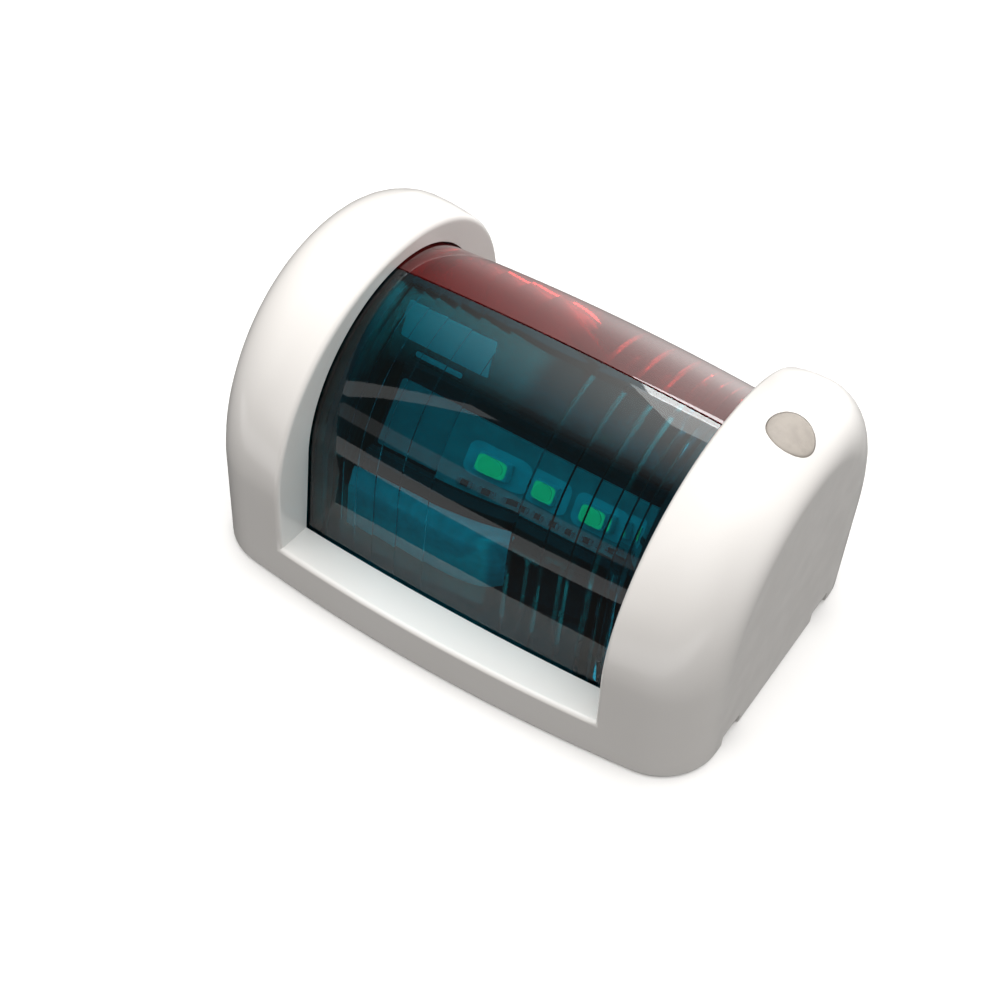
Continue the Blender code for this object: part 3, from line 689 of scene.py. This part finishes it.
def finish_piece(obj, materials, node, body, sharp=35.0):
    """Materials and shading for a piece that stands for one CAD node, which it hides, and the body the piece
    is hung under.
    """
    if materials:
        obj.data.materials.clear()
    for material in materials:
        obj.data.materials.append(material)
    obj.data.shade_smooth()
    obj.data.set_sharp_from_angle(angle=math.radians(sharp))
    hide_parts(node)
    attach(obj, body)


# ---------------------------------------------------------------- the lens

def lens_body(name, grow, foot, stations, thickening=None):
    """The lens's outline as a closed body, wider by grow and narrower by a thickening at each station."""
    sections = []
    for x in stations:
        radius = lens_half_width(x) + grow - (thickening(x) if thickening else 0.0)
        walls = [(radius + LENS_DRAFT * (LENS_SPRING_Z - z), z) for z in steps(foot, LENS_SPRING_Z, 3)[:-1]]
        ring = [(x, -y, z) for y, z in walls]
        ring += [(x, -radius * math.cos(a), LENS_SPRING_Z + radius * math.sin(a))
                 for a in steps(0.0, math.pi, LENS_ARCH_STEPS)]
        ring += [(x, y, z) for y, z in reversed(walls)]
        sections.append(ring)
    return loft(name, sections)


def prism_thickening(x):
    """How far the inner surface stands in: a bull's-eye in the middle, then saw teeth."""
    distance = abs(x)
    if distance <= PRISM_EDGES[0]:
        return PRISM_DEPTH * (1 - (distance / PRISM_EDGES[0]) ** 2)
    for inner, outer in zip(PRISM_EDGES, PRISM_EDGES[1:]):
        if distance <= outer:
            return PRISM_DEPTH * (outer - distance) / (outer - inner)
    return 0.0


def prism_stations():
    """Places along X for the lens's inside, with a pair of them at each prism's edge."""
    right = steps(0.0, PRISM_EDGES[0] - PRISM_RISER, 8)[1:]
    for edge, following in zip(PRISM_EDGES, PRISM_EDGES[1:]):
        right += [edge + PRISM_RISER, following - PRISM_RISER]
    right += [PRISM_EDGES[-1] + PRISM_RISER, LENS_END - LENS_WALL]
    return [-x for x in reversed(right)] + [0.0] + right


def make_lens(side):
    name = SIDE_NAMES[side]
    lens = lens_body(f"lens_{name}_clear", 0.0, LENS_FOOT, steps(-LENS_END, LENS_END, 44))
    boolean(lens, lens_body("inside", -LENS_WALL, -1.0, prism_stations(), prism_thickening))
    low, high = sorted((-side * HALF_LENGTH, side * LENS_GAP / 2))
    boolean(lens, box("other_half", (-HALF_LENGTH, low, -CLEAR), (HALF_LENGTH, high, ABOVE_ALL)))
    finish_piece(lens, [GREEN if side == STARBOARD else RED], f"lens_{name}", "base", 20.0)


# ---------------------------------------------------------------- light engine and the rest of the CAD

def on_led_face(obj, side):
    """Places an object, modelled with the LED board's seat as its Z = 0, on that side's slope."""
    middle = Vector((0.0, side * LED_FACE[0], LED_FACE[1])) * MM
    obj.data.transform(Matrix.Translation(middle) @ Matrix.Rotation(-side * LED_FACE_TURN, 4, "X"))
    return obj


def rounded_outline(half_x, half_y, corner, centre=(0.0, 0.0)):
    found = []
    for turn, (sx, sy) in enumerate(((1, 1), (-1, 1), (-1, -1), (1, -1))):
        for a in steps(turn * math.pi / 2, (turn + 1) * math.pi / 2, 6):
            found.append((centre[0] + sx * (half_x - corner) + corner * math.cos(a),
                          centre[1] + sy * (half_y - corner) + corner * math.sin(a)))
    return found


def slab(name, outline, z_low, z_high, rounding=0.0):
    """A flat piece with a given outline, with its upper edges chamfered."""
    centre = Vector((sum(p[0] for p in outline), sum(p[1] for p in outline))) / len(outline)
    reach = max((Vector(p) - centre).length for p in outline)
    inner = [tuple(centre + (Vector(p) - centre) * (1 - rounding / reach)) for p in outline]
    rings = [[(x, y, z_low) for x, y in outline], [(x, y, z_high - rounding) for x, y in outline],
             [(x, y, z_high) for x, y in inner]]
    bm = bmesh.new()
    rows = [[bm.verts.new(Vector(p) * MM) for p in ring] for ring in rings]
    count = len(outline)
    for low, high in zip(rows, rows[1:]):
        for i in range(count):
            bm.faces.new((low[i], low[(i + 1) % count], high[(i + 1) % count], high[i]))
    bm.faces.new(list(reversed(rows[0])))
    bm.faces.new(rows[-1])
    return new_object(name, bm_to_mesh(bm, name))


def joined(name, parts):
    """One object out of (object, material) pairs, keeping each part's material."""
    bm = bmesh.new()
    materials = []
    indices = []
    for obj, material in parts:
        if material not in materials:
            materials.append(material)
        indices += [materials.index(material)] * len(obj.data.polygons)
        bm.from_mesh(obj.data)
        bpy.data.objects.remove(obj)
    whole = new_object(name, bm_to_mesh(bm, name), materials)
    for face, index in zip(whole.data.polygons, indices):
        face.material_index = index
    return whole


def make_led(side, index):
    """A LED package: ceramic body on its solder, phosphor with a faint painted glow and a clear dome."""
    name = SIDE_NAMES[side]
    x = LED_PLACES[index]
    body = slab("body", rounded_outline(*LED_HALF, LED_CORNER, (x, 0.0)), LED_SEAT, LED_TOP, LED_EDGE)
    parts = [(body, CERAMIC)]
    for offset in (-SOLDER_X, SOLDER_X):
        low = (x + offset - SOLDER_HALF[0], -SOLDER_HALF[1], BOARD_TOP + SOLDER_GAP)
        high = (x + offset + SOLDER_HALF[0], SOLDER_HALF[1], LED_SEAT + SOLDER_INTO_BODY)
        parts.append((box("solder", low, high), SOLDER))
    filled = rounded_outline(*PHOSPHOR_HALF, PHOSPHOR_CORNER, (x, 0.0))
    low, high = LED_TOP - PHOSPHOR_SUNK, LED_TOP + PHOSPHOR_PROUD
    parts.append((slab("phosphor", filled, low, high, PHOSPHOR_EDGE), PHOSPHOR))
    dome = [(DOME_R, DOME_FOOT)]
    for a in steps(0.0, math.pi / 2, 8)[:-1]:
        dome.append((DOME_R * math.cos(a), DOME_FOOT + DOME_LIP + DOME_RISE * math.sin(a)))
    dome += [(0.0, DOME_FOOT + DOME_LIP + DOME_RISE), (0.0, DOME_FOOT), (DOME_R, DOME_FOOT)]
    parts.append((turned("dome", dome, (x, 0.0), 32), SILICONE))
    led = on_led_face(joined(f"led_{name}_{index + 1}_package", parts), side)
    finish_piece(led, [], f"led_{name}_{index + 1}", "base")


def make_board_parts(side):
    """White pads round the LEDs, which paint a brighter ring on the board's painted shade, and chip
    resistors along the board's lower edge.
    """
    name = SIDE_NAMES[side]
    parts = []
    for x in LED_PLACES:
        pad = slab("pad", rounded_outline(*PAD_HALF, PAD_CORNER, (x, 0.0)), BOARD_TOP, BOARD_TOP + PAD_THICK)
        parts.append((pad, PAD_WHITE_PAINTED_LIGHT))
    y = side * CHIP_Y
    for x in steps(LED_PLACES[0] - CHIP_PAST_LEDS, LED_PLACES[-1] + CHIP_PAST_LEDS, CHIP_GAPS):
        low = (x - CHIP_HALF[0], y - CHIP_HALF[1], BOARD_TOP + CHIP_GAP)
        high = (x + CHIP_HALF[0], y + CHIP_HALF[1], BOARD_TOP + CHIP_HIGH)
        parts.append((box("chip", low, high), EPOXY))
        for end in (-1, 1):
            near, far = sorted((x + end * TIP_X[0], x + end * TIP_X[1]))
            low = (near, y - CHIP_HALF[1] - TIP_PROUD, BOARD_TOP + TIP_GAP)
            high = (far, y + CHIP_HALF[1] + TIP_PROUD, BOARD_TOP + CHIP_HIGH + TIP_PROUD)
            parts.append((box("tip", low, high), SOLDER))
    piece = on_led_face(joined(f"board_parts_{name}", parts), side)
    piece.data.shade_smooth()
    piece.data.set_sharp_from_angle(angle=math.radians(35))
    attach(piece, "base")


def make_reflector(side):
    """White sheet on the LED slope, beyond both ends of its board."""
    parts = []
    left = (-REFLECTOR_END, BOARD_ENDS[0] - REFLECTOR_GAP)
    right = (BOARD_ENDS[1] + REFLECTOR_GAP, REFLECTOR_END)
    for low, high in (left, right):
        middle = ((low + high) / 2, 0.0)
        shape = rounded_outline((high - low) / 2, REFLECTOR_HALF, REFLECTOR_CORNER, middle)
        parts.append((slab("sheet", shape, 0.0, REFLECTOR_THICK, REFLECTOR_EDGE), REFLECTOR))
    sheet = on_led_face(joined(f"reflector_{SIDE_NAMES[side]}", parts), side)
    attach(sheet, "base")


def make_card(side):
    """A folded pale insulating card that stands between the carrier's leg and the lens."""
    outline = [*CARD_OUTER, *reversed(CARD_INNER)]
    rows = [[(x, side * y, z) for y, z in outline] for x in CARD_STATIONS]
    card = loft(f"insulating_card_{SIDE_NAMES[side]}", rows)
    card.data.materials.append(CARD)
    bevel = card.modifiers.new("soft edges", "BEVEL")
    bevel.width = CARD_ROUND * MM
    bevel.segments = 2
    bevel.limit_method = "ANGLE"
    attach(card, "base")


def make_foil(side):
    """Reflective foil on the upper part of one face of the divider, in two strips."""
    parts = []
    for low_x, high_x, low_z, high_z in FOIL_STRIPS:
        middle = ((low_x + high_x) / 2, (low_z + high_z) / 2)
        shape = rounded_outline((high_x - low_x) / 2, (high_z - low_z) / 2, FOIL_CORNER, middle)
        parts.append((slab("strip", shape, 0.0, FOIL_THICK, FOIL_EDGE), FOIL))
    foil = joined(f"divider_foil_{SIDE_NAMES[side]}", parts)
    upright = Matrix.Rotation(math.pi / 2, 4, "X")
    foil.data.transform(Matrix.Translation((0.0, -DIVIDER_HALF * MM, 0.0)) @ upright)
    if side == PORT:
        foil.data.transform(Matrix.Diagonal((1.0, -1.0, 1.0, 1.0)))
        foil.data.flip_normals()
    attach(foil, "base")


def dress(node, material, rounding=0.0):
    """A CAD node keeps its shape, with rounded edges and a better material."""
    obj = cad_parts[node]
    obj.data.materials.clear()
    obj.data.materials.append(material)
    if rounding:
        bevel = obj.modifiers.new("rounded edges", "BEVEL")
        bevel.width = rounding * MM
        bevel.segments = 2
        bevel.limit_method = "ANGLE"
        bevel.angle_limit = math.radians(40)
        bevel.harden_normals = True


def dress_interior():
    dress("base_plate", BLACK, 0.25)
    dress("mounting_gasket", FOAM, 0.2)
    dress("lens_seal", RUBBER, 0.1)
    dress("cable_grommet", RUBBER)
    dress("screw_insert", BRASS)
    dress("cover_screw_washer", RUBBER)
    dress("led_carrier", ANODISED, 0.2)
    dress("sector_divider", GLOSS_BLACK, 0.15)
    for node in ("end_baffle_upper", "end_baffle_lower"):
        dress(node, BLACK)
    for index in range(1, 5):
        dress(f"carrier_screw_{index}", STEEL)
    for index in (1, 2):
        dress(f"driver_screw_{index}", STEEL)
    dress("driver_board", BOARD_GREEN, 0.1)
    dress("driver_inductor", EPOXY, 0.4)
    dress("driver_capacitor", ANODISED, 0.3)
    dress("driver_chip", EPOXY, 0.15)
    dress("terminal_block", TERMINAL, 0.2)
    for name in SIDE_NAMES.values():
        dress(f"led_board_{name}", BOARD, 0.1)
        dress(f"thermal_pad_{name}", THERMAL)
        dress(f"board_rail_{name}", BLACK, 0.2)
        dress(f"led_lead_{name}", SLEEVE)


# ---------------------------------------------------------------- floor, lights and camera

AZIMUTH, ELEVATION, ROLL = 0.5074, 0.8294, 0.0902      # radians
DISTANCE = 304.63
TARGET = (-3.40, -6.11, 13.91)
LENS_MM = 73.78
SENSOR_MM = 36.0


def make_camera():
    data = bpy.data.cameras.new("camera")
    data.lens = LENS_MM
    data.sensor_width = SENSOR_MM
    data.clip_start, data.clip_end = 0.01, 20.0
    camera = bpy.data.objects.new("camera", data)
    bpy.context.scene.collection.objects.link(camera)
    back = Vector((math.sin(AZIMUTH) * math.cos(ELEVATION), -math.cos(AZIMUTH) * math.cos(ELEVATION),
                   math.sin(ELEVATION)))
    right = (-back).cross(Vector((0, 0, 1))).normalized()
    up = right.cross(-back)
    across = right * math.cos(ROLL) + up * math.sin(ROLL)
    upward = up * math.cos(ROLL) - right * math.sin(ROLL)
    turn = Matrix((across, upward, back)).transposed()
    camera.matrix_world = Matrix.Translation((Vector(TARGET) + back * DISTANCE) * MM) @ turn.to_4x4()
    bpy.context.scene.camera = camera


FLOOR_HALF = 12000.0
FLOOR_GAP = 0.1


def make_floor():
    """A plain floor that only the camera sees, so that it puts no light on the object."""
    bm = bmesh.new()
    bmesh.ops.create_grid(bm, x_segments=1, y_segments=1, size=FLOOR_HALF * MM)
    floor = new_object("floor", bm_to_mesh(bm, "floor"))
    floor.location.z = -FLOOR_GAP * MM
    floor.visible_glossy = False
    floor.visible_diffuse = False
    floor.visible_transmission = False
    s = Shader("floor_look", (0.90, 0.90, 0.90), 0.9, Specular_IOR_Level=0.1)
    floor.data.materials.append(s.material)


# Name, place, aim, size, radiance and where the lamp shows
LAMPS = (
    ("floor strip", (0, -79, 1), (0, -79, 100), (280, 44), 0.95, "reflections"),
    ("window strip", (-326, -946, 96), (0, 0, 30), (440, 190), 0.4, "reflections"),
    ("window side", (-417, -630, 490), (0, 0, 35), (45, 560), 1.0, "reflections"),
    ("highlight", (-125, 576, 690), (24, 0, 43), (160, 150), 12.0, "reflections"),
    ("highlight glow", (-110, 430, 800), (24, 0, 43), (150, 260), 3.5, "reflections"),
    ("paper behind", (-30, 145, 1), (-30, 145, 100), (60, 40), 14.0, "transmission"),
)


def area_light(name, place, aim, size, radiance, seen_in):
    """A lamp of a given brightness that only shows in reflections, or only through the lens."""
    data = bpy.data.lights.new(name, "AREA")
    data.shape = "RECTANGLE"
    data.size, data.size_y = size[0] * MM, size[1] * MM
    data.energy = radiance * math.pi * data.size * data.size_y
    light = bpy.data.objects.new(name, data)
    bpy.context.scene.collection.objects.link(light)
    light.location = Vector(place) * MM
    light.rotation_euler = (Vector(aim) - Vector(place)).to_track_quat("-Z", "Y").to_euler()
    light.visible_camera = False
    light.visible_diffuse = False
    light.visible_glossy = seen_in == "reflections"
    light.visible_transmission = seen_in == "transmission"


# The light that falls on the object: a softbox straight up and a dim surround. Edges are components of
# a direction of length 1, between which a strength fades in.
SKY_STRENGTH = 2.5
SKY_EDGES = (0.45, 0.80)               # along Z
SURROUND_STRENGTH = (0.20, 0.28)       # away from the screw end and towards it
SURROUND_EDGES = (-0.1, 0.8)           # along X
SKY_COLOUR = (1.0, 0.985, 0.965, 1.0)

# What reflections show: a white tent that rises along X and fades in from front to back and upwards
TENT_MIDDLE = 5.4                      # its strength at X = 0, before its limits
TENT_RISE = 10.6                       # along X
TENT_LIMITS = (0.3, 3.1)
TENT_EDGES = (-0.6, 0.5)               # along Y
TENT_LOW_EDGES = (-0.75, 0.1)          # along Z
TENT_LOW_SHARE = 0.08                  # of its strength, at the lower of those edges
DARK_TABLE = 0.10


class SkyNodes:
    """Builds the world's node tree out of plain numbers."""

    def __init__(self, tree):
        self.tree = tree

    def put(self, socket, value):
        if isinstance(value, (int, float)):
            socket.default_value = value
        else:
            self.tree.links.new(value, socket)

    def fade(self, value, edges, low, high):
        node = self.tree.nodes.new("ShaderNodeMapRange")
        node.interpolation_type = "SMOOTHSTEP"
        node.inputs["From Min"].default_value, node.inputs["From Max"].default_value = edges
        node.inputs["To Min"].default_value = low
        node.inputs["To Max"].default_value = high
        self.put(node.inputs["Value"], value)
        return node.outputs["Result"]

    def math(self, operation, a, b):
        node = self.tree.nodes.new("ShaderNodeMath")
        node.operation = operation
        self.put(node.inputs[0], a)
        self.put(node.inputs[1], b)
        return node.outputs["Value"]


def make_sky():
    """A softbox overhead lights the scene, and reflections show a white tent behind the object."""
    world = bpy.data.worlds.new("studio")
    bpy.context.scene.world = world
    world.use_nodes = True
    tree = world.node_tree
    nodes = SkyNodes(tree)
    background = tree.nodes["Background"]
    direction = tree.nodes.new("ShaderNodeTexCoord").outputs["Generated"]
    split = tree.nodes.new("ShaderNodeSeparateXYZ")
    tree.links.new(direction, split.inputs["Vector"])
    x, y, z = split.outputs["X"], split.outputs["Y"], split.outputs["Z"]
    surround = nodes.fade(x, SURROUND_EDGES, *SURROUND_STRENGTH)
    overhead = nodes.fade(z, SKY_EDGES, 0.0, SKY_STRENGTH)
    lighting = nodes.math("MAXIMUM", surround, overhead)
    rise = nodes.math("ADD", nodes.math("MULTIPLY", x, TENT_RISE), TENT_MIDDLE)
    tent = nodes.math("MINIMUM", nodes.math("MAXIMUM", rise, TENT_LIMITS[0]), TENT_LIMITS[1])
    tent = nodes.math("MULTIPLY", tent, nodes.fade(y, TENT_EDGES, 0.0, 1.0))
    tent = nodes.math("MULTIPLY", tent, nodes.fade(z, TENT_LOW_EDGES, TENT_LOW_SHARE, 1.0))
    tent = nodes.math("MAXIMUM", tent, DARK_TABLE)
    reflected = tree.nodes.new("ShaderNodeLightPath").outputs["Is Glossy Ray"]
    strength = tree.nodes.new("ShaderNodeMix")
    nodes.put(strength.inputs["Factor"], reflected)
    nodes.put(strength.inputs["A"], lighting)
    nodes.put(strength.inputs["B"], tent)
    tree.links.new(strength.outputs["Result"], background.inputs["Strength"])
    background.inputs["Color"].default_value = SKY_COLOUR


def make_lights():
    make_sky()
    for lamp in LAMPS:
        area_light(*lamp)


def main():
    make_cover()
    make_plug()
    make_screw()
    for side in (STARBOARD, PORT):
        make_lens(side)
        for index in range(len(LED_PLACES)):
            make_led(side, index)
        make_board_parts(side)
        make_reflector(side)
        make_card(side)
        make_foil(side)
    dress_interior()
    make_floor()
    make_camera()
    make_lights()
    bpy.context.scene.view_settings.view_transform = "Standard"


main()
